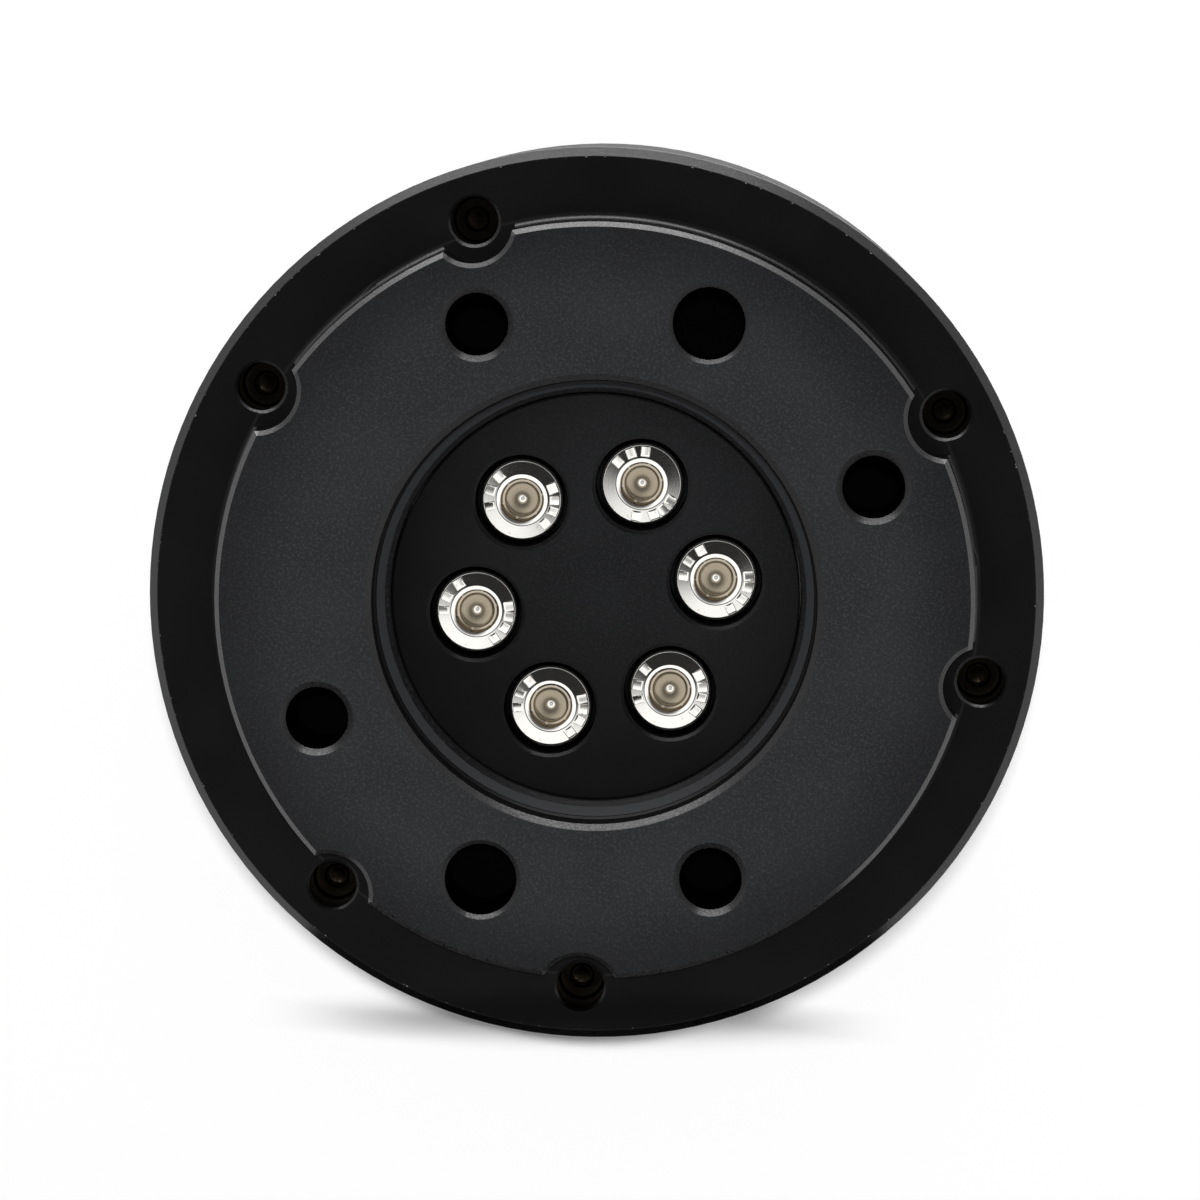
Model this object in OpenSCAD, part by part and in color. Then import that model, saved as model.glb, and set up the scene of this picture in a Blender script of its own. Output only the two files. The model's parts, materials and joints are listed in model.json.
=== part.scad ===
// Six-axis force torque sensor for a robot wrist.
// The robot side rests at z = 0 and the tool side faces up. The origin is the
// centre of the robot-side face, and +Z is the sensor's own axis.
// A tool flange is screwed to the rim of a one-piece sensing element. Three
// beams join that rim to a hub, and the hub is screwed to the housing's pedestal.

/* [Body] */
// Outer diameter of the flange and the housing
body_d = 75; // [74:0.5:80]
// Height from the robot-side face to the ring face of the flange
body_h = 30; // [29:0.5:34]
// Chamfer round the outer edges
body_chamfer = 0.7; // [0.4:0.1:1]
// Running gap between the housing's top edge and the flange
side_gap = 0.4; // [0.2:0.1:0.8]

/* [Tool flange] */
// Diameter of the raised boss
boss_d = 63; // [62:0.5:63.5]
// Height of the boss above the ring face
boss_h = 5; // [4:0.25:7]
// Chamfer round the boss face
boss_chamfer = 0.4; // [0.2:0.1:0.6]
// Fillet at the foot of the boss
boss_fillet = 0.7; // [0.3:0.1:0.8]
// Depth of the relief under the flange, over the beams
flange_relief = 2; // [1.4:0.2:2.4]
// Diameter of the central recess at its wall
recess_d = 37; // [36.6:0.2:38]
// Chamfer round the mouth of the recess
recess_chamfer = 0.5; // [0.3:0.1:0.7]
// Height of the recess's straight wall
recess_wall_h = 2.6; // [2:0.1:3]
// Width of the small ledge under the straight wall
recess_ledge = 0.2; // [0.1:0.05:0.3]
// Depth of the hub face below the boss face
recess_depth = 5.1; // [4.8:0.1:6]

/* [Bolt pattern] */
// Pitch circle of the threaded holes and the pin holes, on both faces
bolt_pcd = 50; // [49:0.5:51]
// Bore of the threaded holes
thread_bore = 5.2; // [4.9:0.1:5.4]
// Diameter of the threaded holes at the mouth
thread_mouth = 6.2; // [6:0.1:6.8]
// Thickness left under the threaded holes in the boss
tool_hole_floor = 2; // [1.5:0.25:3]
// Depth of the threaded holes in the robot-side face
robot_thread_depth = 8.8; // [7:0.2:9]
// Bore of the pin holes
pin_bore = 6; // [5.5:0.5:6]
// Diameter of the pin holes at the mouth
pin_mouth = 6.7; // [6.4:0.1:7]
// How much shallower the pin holes in the boss are than its threaded holes
tool_pin_rise = 1; // [0:0.5:3]
// Depth of the pin holes in the robot-side face
robot_pin_depth = 5.5; // [4.5:0.25:5.75]

/* [Rim screws] */
// Distance from the rim screws' axes to the outer surface
rim_screw_inset = 4.5; // [4.2:0.1:4.8]
// Angle from each beam to the rim screws beside it
rim_screw_spread = 20; // [19:0.5:23]
// Bore of the rim screw pockets
rim_pocket_d = 4; // [3.9:0.05:4.2]
// Chamfer of the rim screw pockets
rim_pocket_chamfer = 0.2; // [0.1:0.05:0.3]
// Thickness of the flange under the rim screw heads
rim_seat_t = 2.3; // [2:0.1:3]
// Diameter of the rim screw heads
rim_head_d = 3.8; // [3.6:0.1:3.8]
// Height of the rim screw heads
rim_head_h = 2; // [1.6:0.1:2]
// Thread diameter of the rim screws
rim_screw_d = 2; // [1.8:0.1:2.2]
// Socket of the rim screws, across flats
rim_socket_af = 1.5; // [1.3:0.1:1.6]
// Thread engagement of the rim screws in the rim
rim_engagement = 5.7; // [4:0.1:6]
// Radius of the scallop that each rim screw has in the boss
scallop_r = 3.4; // [3:0.1:3.6]
// Height of the scallop floors above the ring face
scallop_step = 0.05; // [0.02:0.01:0.1]

/* [Hub screws] */
// Number of hub screws
hub_screw_count = 6; // [3:1:6]
// Pitch circle of the hub screws
hub_pcd = 20.3; // [19.5:0.1:21]
// Bore of the hub screw counterbores
hub_cbore_d = 7.8; // [7.4:0.1:8]
// Chamfer of the hub screw counterbores
hub_cbore_chamfer = 0.25; // [0.1:0.05:0.3]
// Depth of the hub screw heads below the hub face
hub_head_drop = 1.4; // [0.8:0.1:1.8]
// Diameter of the hub screw heads
hub_head_d = 7; // [6.6:0.1:7.2]
// Height of the hub screw heads
hub_head_h = 4; // [3.5:0.1:4]
// Thread diameter of the hub screws
hub_screw_d = 4; // [3.5:0.5:4]
// Socket of the hub screws, across flats
hub_socket_af = 3; // [2.5:0.1:3.2]
// Thread engagement of the hub screws in the pedestal
hub_engagement = 6.5; // [5:0.5:7]

/* [Sensing element] */
// Diameter of the hub
hub_d = 34.2; // [34:0.1:34.3]
// Radial gap between the hub and the flange
hub_gap = 0.12; // [0.08:0.02:0.2]
// Chamfer round the hub face
hub_chamfer = 0.15; // [0.1:0.05:0.3]
// Number of beams
beam_count = 3; // [3:1:3]
// Width of a beam
beam_w = 7; // [6:0.25:8]
// Height of a beam
beam_h = 5.5; // [5:0.1:5.8]
// Fillet at the ends of a beam
beam_fillet = 1.5; // [0.8:0.1:1.8]
// Radius of the two bores through each beam
window_r = 1.7; // [1.3:0.1:1.8]
// Distance between the two bores of a beam
window_pitch = 4.6; // [4:0.1:5]
// Height of the slit that joins the two bores
window_slit = 1.6; // [0.8:0.1:2]
// How far the hub reaches below the beams
hub_foot = 0.5; // [0.2:0.1:0.7]
// Free length of a beam, from the hub to the rim
beam_span = 10.2; // [9.8:0.1:10.4]
// Height of the rim
rim_h = 6.5; // [6:0.1:6.6]
// Thickness of the spring wall at the end of each beam
spring_t = 1.3; // [1:0.1:1.5]
// Width of the slot behind each spring wall
slot_w = 1.2; // [0.8:0.1:1.4]
// How much wider the drilled holes at the slots' ends are
slot_end_extra = 0.4; // [0.2:0.1:0.6]
// Half the angle that each slot spans
slot_half_angle = 13; // [11:0.5:14]
// Radial gap between the rim and the housing
rim_gap = 0.4; // [0.3:0.1:0.8]

/* [Housing] */
// Thickness of the housing's side wall
wall_t = 1.9; // [1.7:0.1:2.1]
// Thickness of the housing's floor
floor_t = 7; // [6.8:0.1:7.4]
// How far the pedestal's side lies within the hub's
pedestal_step = 0.1; // [0:0.1:0.4]
// Diameter of the pilot recess in the robot-side face
pilot_d = 31.5; // [30:0.5:32]
// Depth of the pilot recess
pilot_depth = 3; // [2:0.25:3.5]
// Radius of the bosses round the robot-side threaded holes
thread_boss_r = 5; // [4.4:0.1:5.4]
// Height of those bosses above the floor
thread_boss_h = 3.3; // [2.8:0.1:3.5]

/* [Seals and pins] */
// Width of the seal in the side gap
gap_seal_w = 0.8; // [0.6:0.1:0.9]
// Depth of that seal's groove
gap_groove_depth = 1.2; // [0.8:0.1:1.6]
// Width of the seal between the hub and the flange
hub_seal_w = 1.1; // [0.8:0.1:1.4]
// Height of that seal
hub_seal_h = 1.2; // [0.8:0.1:1.6]
// Height of that seal's lower face above the relief
hub_seal_rise = 1.7; // [1.4:0.1:2]
// Diameter of the hub pins
hub_pin_d = 3; // [2:0.5:3]
// Length of the hub pins
hub_pin_l = 8; // [6:0.5:9]
// Pitch circle of the hub pins
hub_pin_pcd = 27; // [26:0.25:27.5]
// Diameter of the rim pins
rim_pin_d = 2; // [1.5:0.1:2.2]
// Length of the rim pins
rim_pin_l = 6; // [5:0.25:7]

/* [Electronics] */
// Height of the standoffs under the board
standoff_h = 3.8; // [3.7:0.1:4.2]
// Standoffs, across flats
standoff_af = 4; // [3.5:0.1:4.5]
// Distance from the standoffs' axes to the edge of the circuit board
standoff_inset = 3; // [2.6:0.1:3.4]
// Thickness of the circuit board
board_t = 1.2; // [1:0.1:1.4]
// Room between the circuit board and the rim
board_room = 2.5; // [2.4:0.1:3]
// Gap between the circuit board and the side wall
board_wall_gap = 2.6; // [2:0.1:3]
// Gap between the circuit board and the pedestal
board_pedestal_gap = 1; // [0.5:0.25:1.5]
// Diameter of the board screws
board_screw_d = 2; // [1.6:0.1:2.2]
// Thickness of a strain gauge
gauge_t = 0.1; // [0.05:0.01:0.12]
// Thickness of the flexible circuit
flex_t = 0.15; // [0.1:0.01:0.2]
// Width of the flexible circuit's tail
flex_w = 4; // [3:0.25:5]
// Side of the processor's body
processor_w = 7; // [6:0.5:7.5]
// Length of a converter's body, between its rows of leads
converter_l = 4; // [3.5:0.25:4.5]
// Width of a converter's body
converter_w = 5; // [4:0.5:5.5]
// Height of the chips
chip_h = 0.9; // [0.7:0.1:1.2]
// Reach of a chip's leads beyond its body
lead_reach = 0.6; // [0.4:0.05:0.7]
// Side of the power coil
coil_w = 4; // [3:0.5:4.5]
// Height of the power coil
coil_h = 1.8; // [1.2:0.2:2]
// Diameter of the power capacitor
capacitor_d = 3; // [2.4:0.2:3.4]

/* [Cable socket] */
// Height of the cable socket's axis
socket_z = 8; // [7.8:0.1:8.2]
// Diameter of the socket's flange
socket_flange_d = 11; // [10:0.25:11.2]
// Thickness of the socket's flange
socket_flange_t = 1; // [0.8:0.05:1.2]
// Diameter of the socket's body
socket_body_d = 8.2; // [7.6:0.1:8.4]
// Inner diameter of the socket
socket_bore_d = 6.6; // [6:0.1:6.8]
// Length of the socket's body behind its flange
socket_body_l = 7.6; // [7:0.1:7.6]
// Nut of the socket, across flats
socket_nut_af = 10; // [9.5:0.1:10.4]
// Thickness of the socket's nut
socket_nut_t = 1.8; // [1.4:0.1:2]
// Number of contacts
contact_count = 8; // [4:1:8]
// Circle that the contacts stand on
contact_pcd = 4.4; // [3.8:0.1:4.6]
// Diameter of a contact
contact_d = 0.5; // [0.4:0.05:0.6]
// Diameter of a lead
lead_d = 0.3; // [0.2:0.02:0.3]

/* [Hidden] */
$fn = 96;

// Overcut, so that a cutter clears the face that it cuts
eps = 0.1;
// Radial clearance of a screw in its tapped hole and of a pin in its hole
thread_fit = 0.05;
pin_fit = 0.01;
// Radial clearance of a screw in its through hole
hub_hole_fit = 0.25;
rim_hole_fit = 0.15;
// Depth of a tapped hole beyond the screw's tip
tap_runout = 1.5;

// Levels, from the robot-side face upwards
ring_z = body_h;
top_z = body_h + boss_h;
board_z = floor_t + standoff_h;
board_top_z = board_z + board_t;
rim_z = board_top_z + board_room;
flange_z = rim_z + rim_h;
relief_z = flange_z + flange_relief;
beam_z = flange_z - beam_h;
pedestal_h = beam_z - hub_foot;
housing_top_z = flange_z - side_gap;
hub_top_z = top_z - recess_depth;
hub_seal_z = relief_z + hub_seal_rise;
tool_thread_depth = top_z - relief_z - tool_hole_floor;
tool_pin_depth = tool_thread_depth - tool_pin_rise;

// Radii
body_r = body_d / 2;
boss_r = boss_d / 2;
bolt_r = bolt_pcd / 2;
hub_r = hub_d / 2;
bore_r = hub_r + hub_gap;
housing_in_r = body_r - wall_t;
rim_r = housing_in_r - rim_gap;
rim_in_r = hub_r + beam_span;
rim_screw_r = body_r - rim_screw_inset;
pedestal_r = hub_r - pedestal_step;
board_r = housing_in_r - board_wall_gap;
board_in_r = pedestal_r + board_pedestal_gap;
standoff_r = board_r - standoff_inset;
slot_r = rim_in_r + spring_t + slot_w / 2;
// The flange bears on the rim from just outside the slots
bearing_in_r = slot_r + (slot_w + slot_end_extra) / 2 + 0.2;

// Directions about the axis
beam_angle = 30;
thread_angles = [for (k = [0 : 3]) 45 + 90 * k];
pin_angle = 90;
rim_pin_angle = 90;
standoff_angles = [for (k = [0 : 3]) 20 + 90 * k];
rim_angles = [for (k = [0 : beam_count - 1], s = [-1, 1])
  beam_angle + k * 360 / beam_count + s * rim_screw_spread];
hub_angles = [for (k = [0 : hub_screw_count - 1]) beam_angle + k * 360 / hub_screw_count];
beam_angles = [for (k = [0 : beam_count - 1]) beam_angle + k * 360 / beam_count];

// Screws
hub_seat_z = hub_top_z - hub_head_drop - hub_head_h;
hub_screw_l = hub_seat_z - pedestal_h + hub_engagement;
rim_seat_z = flange_z + rim_seat_t;
scallop_chamfer = boss_chamfer - 0.03;
rim_screw_l = rim_seat_z - flange_z + rim_engagement;
board_screw_l = board_t + standoff_h - 0.8;
board_head_d = 1.9 * board_screw_d;
board_head_h = 0.6 * board_screw_d;
standoff_stud_l = 3;

// Cable socket: its flange seats on a flat spot in the side wall
socket_seat_x = body_r - 1.5;
socket_pad_x = socket_seat_x - 2.9;
socket_back_x = socket_seat_x - socket_body_l;
socket_fit = 0.1;
socket_pad_w = 15;
socket_pocket_w = 14;
socket_pocket_x = 22;
socket_pocket_z = 1.6;
socket_pad_top_z = rim_z - 0.5;
socket_neck_l = 0.9;
socket_neck_r = socket_body_d / 2 - 0.5;
insert_t = 3;
contact_tail_l = 0.5;
contact_angle = 11.25;
contact_angles = [for (k = [0 : contact_count - 1]) contact_angle + k * 360 / contact_count];
notch_x = socket_back_x - 1.9;
lead_x = notch_x + 0.55;
lead_bend_r = 0.6;
lead_z = board_top_z + 1.4;

// Parts on the board
header_l = 2.6;
header_x = notch_x - header_l - 1.3;
header_w = 5.6;
header_h = 2.2;
flex_ring_in_r = hub_r + 0.4;
flex_ring_r = flex_ring_in_r + 5.2;
flex_tail_y = flex_ring_r + 2.6;
flex_bend_r = 0.6;
flex_connector_h = 1.6;
chip_r = board_in_r + 6.5;
coil_r = board_in_r + 4;

// Puts its children at each angle, at the radius r
module around(angles, r) {
  for (a = angles) rotate([0, 0, a]) translate([r, 0, 0]) children();
}

// A round hole with a chamfered mouth at z = 0, drilled down from above
module hole_down(d, depth, mouth_d) {
  c = (mouth_d - d) / 2;
  translate([0, 0, -depth]) cylinder(d = d, h = depth + eps);
  translate([0, 0, -c]) cylinder(r1 = d / 2, r2 = d / 2 + c + eps, h = c + eps);
}

// The mirror image of hole_down(), drilled up from a face at z = 0
module hole_up(d, depth, mouth_d) {
  mirror([0, 0, 1]) hole_down(d, depth, mouth_d);
}

// The threaded holes and the pin holes of a mounting face, drilled down
module pattern_down(thread_depth, pin_depth) {
  around(thread_angles, bolt_r)
    hole_down(thread_bore, thread_depth, thread_mouth);
  around([pin_angle, pin_angle + 180], bolt_r) hole_down(pin_bore, pin_depth, pin_mouth);
}

// A ring with a rectangular section
module ring(r_in, r_out, h) {
  difference() {
    cylinder(r = r_out, h = h);
    translate([0, 0, -eps]) cylinder(r = r_in, h = h + 2 * eps);
  }
}

// A box with its centre at x = y = 0 and its base at z = 0
module block(x, y, z) {
  translate([-x / 2, -y / 2, 0]) cube([x, y, z]);
}

// A socket-head cap screw, its head's seat at z = 0 and its shank below
module cap_screw(head_d, head_h, screw_d, screw_l, socket_af) {
  head_edge = 0.035 * head_d;
  socket_depth = 0.5 * head_h;
  corner_r = socket_af / 2 / cos(30);
  mouth_r = 1.24 * corner_r;
  tip_c = 0.12 * screw_d;
  difference() {
    union() {
      cylinder(d = head_d, h = head_h - head_edge);
      translate([0, 0, head_h - head_edge])
        cylinder(r1 = head_d / 2, r2 = head_d / 2 - head_edge, h = head_edge);
      translate([0, 0, -screw_l + tip_c]) cylinder(d = screw_d, h = screw_l - tip_c + eps);
      translate([0, 0, -screw_l])
        cylinder(r1 = screw_d / 2 - tip_c, r2 = screw_d / 2, h = tip_c);
    }
    // Hexagon, its countersunk mouth, and the drilled and dimpled floor
    translate([0, 0, head_h - socket_depth])
      cylinder(r = corner_r, h = socket_depth + eps, $fn = 6);
    translate([0, 0, head_h - (mouth_r - corner_r)])
      cylinder(r1 = corner_r, r2 = mouth_r + eps, h = mouth_r - corner_r + eps);
    translate([0, 0, head_h - socket_depth - 0.12 * socket_af])
      cylinder(r1 = 0.1 * socket_af, r2 = socket_af / 2, h = 0.12 * socket_af);
    translate([0, 0, head_h - socket_depth - 0.3 * socket_af])
      cylinder(r = 0.1 * socket_af, h = 0.3 * socket_af);
  }
}

// Section of the flange, turned about the axis
module flange_section() {
  cone_top_z = top_z - recess_chamfer - recess_wall_h - recess_ledge;
  recess_r = recess_d / 2;
  foot_c = 0.3;
  polygon([
    [bore_r, relief_z],
    [bore_r, hub_top_z],
    [recess_r - recess_ledge, cone_top_z],
    [recess_r, cone_top_z + recess_ledge],
    [recess_r, top_z - recess_chamfer],
    [recess_r + recess_chamfer, top_z],
    [boss_r - boss_chamfer, top_z],
    [boss_r, top_z - boss_chamfer],
    [boss_r, ring_z],
    [body_r - body_chamfer, ring_z],
    [body_r, ring_z - body_chamfer],
    [body_r, flange_z + foot_c],
    [body_r - foot_c, flange_z],
    [bearing_in_r, flange_z],
    [bearing_in_r, relief_z]
  ]);
}

// Concave fillet at the foot of the boss
module boss_foot() {
  rotate_extrude() difference() {
    translate([boss_r - eps, ring_z - eps]) square(boss_fillet + eps);
    translate([boss_r + boss_fillet, ring_z + boss_fillet]) circle(r = boss_fillet);
  }
}

// Pocket of a rim screw: its scallop in the boss, its counterbore and its hole
module rim_pocket() {
  rim_mouth = rim_pocket_d + 2 * rim_pocket_chamfer;
  translate([0, 0, ring_z + scallop_step]) cylinder(r = scallop_r, h = boss_h + eps);
  translate([0, 0, top_z - scallop_chamfer])
    cylinder(r1 = scallop_r, r2 = scallop_r + scallop_chamfer + eps, h = scallop_chamfer + eps);
  translate([0, 0, ring_z]) hole_down(rim_pocket_d, ring_z - rim_seat_z, rim_mouth);
  translate([0, 0, flange_z - eps])
    cylinder(r = rim_screw_d / 2 + rim_hole_fit, h = rim_seat_z - flange_z + 2 * eps);
}

module tool_flange() color([0.13, 0.14, 0.15]) {
  difference() {
    union() {
      rotate_extrude() flange_section();
      boss_foot();
    }
    translate([0, 0, top_z]) pattern_down(tool_thread_depth, tool_pin_depth);
    around(rim_angles, rim_screw_r) rim_pocket();
    translate([0, 0, hub_seal_z]) cylinder(r = hub_r + hub_seal_w, h = hub_seal_h);
    around([rim_pin_angle, rim_pin_angle + 120], rim_screw_r)
      translate([0, 0, flange_z - eps])
        cylinder(r = rim_pin_d / 2 + pin_fit, h = rim_pin_l / 2 + 2 * eps);
  }
}

// Fillets between one beam, the hub and the rim, on the side of positive y
module beam_fillets() {
  fy = beam_w / 2 + beam_fillet;
  hub_x = sqrt(pow(hub_r + beam_fillet, 2) - fy * fy);
  rim_x = sqrt(pow(rim_in_r - beam_fillet, 2) - fy * fy);
  hub_k = hub_r / (hub_r + beam_fillet);
  rim_k = rim_in_r / (rim_in_r - beam_fillet);
  inner_y = beam_w / 2 - 0.5;
  linear_extrude(beam_h) difference() {
    union() {
      polygon([[hub_x * hub_k - 1, inner_y], [hub_x * hub_k - 1, fy * hub_k],
        [hub_x * hub_k, fy * hub_k], [hub_x, fy], [hub_x, inner_y]]);
      polygon([[rim_x, inner_y], [rim_x, fy], [rim_x * rim_k, fy * rim_k],
        [rim_x * rim_k + 0.8, fy * rim_k], [rim_x * rim_k + 0.8, inner_y]]);
    }
    translate([hub_x, fy]) circle(r = beam_fillet);
    translate([rim_x, fy]) circle(r = beam_fillet);
  }
}

// One beam, along X, with its double window
module beam() {
  mid_x = (hub_r + rim_in_r) / 2;
  start_x = hub_r - 1;
  end_x = rim_in_r + spring_t / 2;
  difference() {
    union() {
      translate([start_x, -beam_w / 2, 0]) cube([end_x - start_x, beam_w, beam_h]);
      beam_fillets();
      mirror([0, 1, 0]) beam_fillets();
    }
    translate([mid_x, 0, beam_h / 2]) rotate([90, 0, 0]) {
      for (s = [-1, 1]) translate([s * window_pitch / 2, 0, 0])
        cylinder(r = window_r, h = 2 * beam_w, center = true);
      cube([window_pitch, window_slit, 2 * beam_w], center = true);
    }
  }
}

// Arc slot with a drilled hole at each end, which frees the spring wall behind a beam
module spring_slot() {
  far = 2 * rim_r;
  intersection() {
    ring(slot_r - slot_w / 2, slot_r + slot_w / 2, rim_h + 2 * eps);
    linear_extrude(rim_h + 2 * eps) polygon([[0, 0],
      [far * cos(slot_half_angle), -far * sin(slot_half_angle)],
      [far * cos(slot_half_angle), far * sin(slot_half_angle)]]);
  }
  around([-slot_half_angle, slot_half_angle], slot_r)
    cylinder(d = slot_w + slot_end_extra, h = rim_h + 2 * eps);
}

// Counterbore and through hole of a hub screw
module hub_screw_hole() {
  hub_mouth = hub_cbore_d + 2 * hub_cbore_chamfer;
  translate([0, 0, hub_top_z]) hole_down(hub_cbore_d, hub_top_z - hub_seat_z, hub_mouth);
  translate([0, 0, pedestal_h - eps])
    cylinder(r = hub_screw_d / 2 + hub_hole_fit, h = hub_seat_z - pedestal_h + 2 * eps);
}

// Hub, beams and rim, machined from one blank
module sensing_element() color([0.72, 0.73, 0.75]) {
  hub_body_h = hub_top_z - hub_chamfer - pedestal_h;
  difference() {
    union() {
      translate([0, 0, pedestal_h]) cylinder(r = hub_r, h = hub_body_h);
      translate([0, 0, hub_top_z - hub_chamfer])
        cylinder(r1 = hub_r, r2 = hub_r - hub_chamfer, h = hub_chamfer);
      translate([0, 0, rim_z]) ring(rim_in_r, rim_r, rim_h);
      around(beam_angles, 0) translate([0, 0, beam_z]) beam();
    }
    around(beam_angles, 0) translate([0, 0, rim_z - eps]) spring_slot();
    around(hub_angles, hub_pcd / 2) hub_screw_hole();
    around(rim_angles, rim_screw_r) translate([0, 0, rim_z - eps])
      cylinder(r = rim_screw_d / 2 + thread_fit, h = rim_h + 2 * eps);
    around([0, 180], hub_pin_pcd / 2) translate([0, 0, pedestal_h - eps])
      cylinder(r = hub_pin_d / 2 + pin_fit, h = hub_pin_l / 2 + 2 * eps);
    around([rim_pin_angle, rim_pin_angle + 120], rim_screw_r)
      translate([0, 0, flange_z - rim_pin_l / 2 - eps])
        cylinder(r = rim_pin_d / 2 + pin_fit, h = rim_pin_l / 2 + 2 * eps);
  }
}

// Outer shape of the housing, before it is hollowed out
module housing_blank() {
  top_c = 0.3;
  rotate_extrude() polygon([
    [0, 0],
    [body_r - body_chamfer, 0],
    [body_r, body_chamfer],
    [body_r, housing_top_z - top_c],
    [body_r - top_c, housing_top_z],
    [0, housing_top_z]
  ]);
}

// The room inside the housing, round the pedestal and the thread bosses
module housing_room() {
  standoff_hole_d = board_screw_d + 2 * thread_fit;
  difference() {
    union() {
      translate([0, 0, floor_t]) cylinder(r = housing_in_r, h = housing_top_z);
      translate([socket_pocket_x, -socket_pocket_w / 2, socket_pocket_z])
        cube([socket_pad_x - socket_pocket_x, socket_pocket_w, floor_t]);
    }
    cylinder(r = pedestal_r, h = pedestal_h);
    around(thread_angles, bolt_r)
      cylinder(r = thread_boss_r, h = floor_t + thread_boss_h);
    translate([socket_pad_x, -socket_pad_w / 2, 0])
      cube([body_r, socket_pad_w, socket_pad_top_z]);
  }
  around(standoff_angles, standoff_r)
    translate([0, 0, floor_t - standoff_stud_l - eps])
      cylinder(d = standoff_hole_d, h = standoff_stud_l + 2 * eps);
}

// Seat of the cable socket, cut in from the side
module socket_seat() {
  translate([0, 0, socket_z]) rotate([0, 90, 0]) {
    translate([0, 0, socket_seat_x])
      cylinder(r = socket_flange_d / 2 + 2 * socket_fit, h = body_r);
    translate([0, 0, socket_pad_x - eps])
      cylinder(r = socket_body_d / 2 + socket_fit, h = body_r);
  }
}

module housing() color([0.12, 0.12, 0.13]) {
  groove_r = body_r - 0.5;
  difference() {
    housing_blank();
    housing_room();
    socket_seat();
    mirror([0, 0, 1]) pattern_down(robot_thread_depth, robot_pin_depth);
    hole_up(pilot_d, pilot_depth, pilot_d + 0.6);
    translate([0, 0, housing_top_z - gap_groove_depth])
      ring(groove_r - gap_seal_w, groove_r, gap_groove_depth + eps);
    around(hub_angles, hub_pcd / 2)
      translate([0, 0, pedestal_h - hub_engagement - tap_runout])
        cylinder(r = hub_screw_d / 2 + thread_fit, h = hub_engagement + tap_runout + eps);
    around([0, 180], hub_pin_pcd / 2) translate([0, 0, pedestal_h - hub_pin_l / 2 - eps])
      cylinder(r = hub_pin_d / 2 + pin_fit, h = hub_pin_l / 2 + 2 * eps);
  }
}

module hub_screws() color([0.82, 0.8, 0.76]) {
  around(hub_angles, hub_pcd / 2) translate([0, 0, hub_seat_z])
    cap_screw(hub_head_d, hub_head_h, hub_screw_d, hub_screw_l, hub_socket_af);
}

module rim_screws() color([0.75, 0.73, 0.7]) {
  around(rim_angles, rim_screw_r) translate([0, 0, rim_seat_z])
    cap_screw(rim_head_d, rim_head_h, rim_screw_d, rim_screw_l, rim_socket_af);
}

// Two pins that locate the element on the pedestal
module hub_pins() color([0.8, 0.8, 0.8]) {
  around([0, 180], hub_pin_pcd / 2) translate([0, 0, pedestal_h - hub_pin_l / 2])
    cylinder(d = hub_pin_d, h = hub_pin_l);
}

// Two pins that locate the flange on the rim
module rim_pins() color([0.8, 0.8, 0.8]) {
  around([rim_pin_angle, rim_pin_angle + 120], rim_screw_r)
    translate([0, 0, flange_z - rim_pin_l / 2]) cylinder(d = rim_pin_d, h = rim_pin_l);
}

// Soft ring that closes the side gap, seated in the housing's groove
module gap_seal() color([0.08, 0.08, 0.08]) {
  seal_fit = 0.03;
  groove_r = body_r - 0.5;
  translate([0, 0, housing_top_z - gap_groove_depth])
    ring(groove_r - gap_seal_w + seal_fit, groove_r - seal_fit, gap_groove_depth + side_gap);
}

// Soft ring in the flange's bore that wipes the hub
module hub_seal() color([0.08, 0.08, 0.08]) {
  seal_fit = 0.03;
  translate([0, 0, hub_seal_z])
    ring(hub_r + seal_fit, hub_r + hub_seal_w - seal_fit, hub_seal_h);
}

// Foil gauges: over and under both bores, and on both sides, of each beam
module strain_gauges() color([0.78, 0.5, 0.16]) {
  gauge_l = 3;
  gauge_w = 2.2;
  mid_x = (hub_r + rim_in_r) / 2;
  around(beam_angles, mid_x) {
    for (s = [-1, 1]) translate([s * window_pitch / 2, 0, 0]) {
      translate([0, 0, flange_z]) block(gauge_l, gauge_w, gauge_t);
      translate([0, 0, beam_z - gauge_t]) block(gauge_l, gauge_w, gauge_t);
    }
    for (s = [-1, 1])
      translate([0, s * (beam_w + gauge_t) / 2, flange_z - 1.05]) block(gauge_l, gauge_t, 0.9);
  }
}

// Flexible circuit under the beams, its tail bent down to the board
module gauge_flex() color([0.82, 0.55, 0.2]) {
  ring_z0 = beam_z - flex_t;
  bend_y = flex_tail_y - flex_bend_r;
  bend_z = beam_z - flex_bend_r;
  tail_z = board_top_z + flex_connector_h;
  difference() {
    union() {
      translate([0, 0, ring_z0]) ring(flex_ring_in_r, flex_ring_r, flex_t);
      translate([0, (flex_ring_r + bend_y) / 2 - 0.5, ring_z0])
        block(flex_w, bend_y - flex_ring_r + 1, flex_t);
      translate([-flex_w / 2, 0, 0]) rotate([90, 0, 90]) linear_extrude(flex_w) {
        intersection() {
          difference() {
            translate([bend_y, bend_z]) circle(r = flex_bend_r);
            translate([bend_y, bend_z]) circle(r = flex_bend_r - flex_t);
          }
          translate([bend_y, bend_z]) square(2 * flex_bend_r);
        }
        translate([flex_tail_y - flex_t, tail_z]) square([flex_t, bend_z - tail_z]);
      }
    }
    // Windows round the gauges on the undersides of the beams
    around(beam_angles, (hub_r + rim_in_r) / 2 - window_pitch / 2)
      translate([0, 0, ring_z0 - eps]) block(3.4, 2.6, flex_t + 2 * eps);
  }
}

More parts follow.
